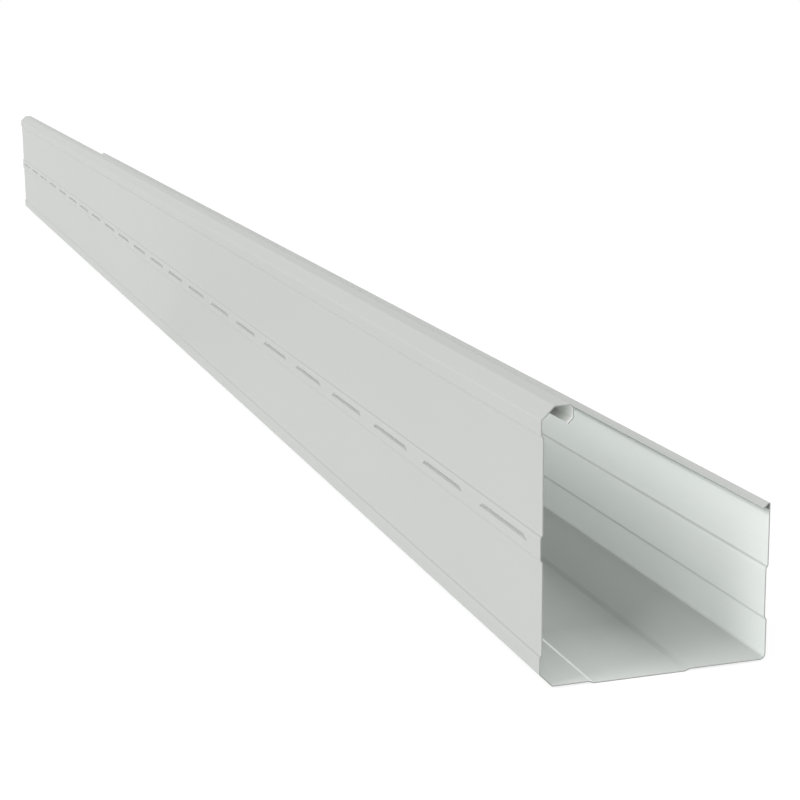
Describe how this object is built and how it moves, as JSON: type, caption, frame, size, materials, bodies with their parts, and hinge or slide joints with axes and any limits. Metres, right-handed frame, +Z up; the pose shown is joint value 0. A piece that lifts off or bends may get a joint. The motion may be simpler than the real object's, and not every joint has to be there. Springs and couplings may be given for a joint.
{
  "type": "eaves gutter section",
  "caption": "Straight length of square sheet-metal eaves gutter: high front wall with a folded bead and a row of overflow slots, flat sole, low back wall with a folded edge.",
  "frame": {"origin": "middle of the box's underside, on the strip of the sole that the gutter stands on", "axes": "+X from the high front wall to the low back wall, +Y along the length, +Z up"},
  "size_m": [0.118, 2, 0.136],
  "materials": {
    "painted_steel": "light grey factory paint, satin"
  },
  "bodies": {
    "root": {"gutter": "painted_steel"}
  },
  "joints": []
}
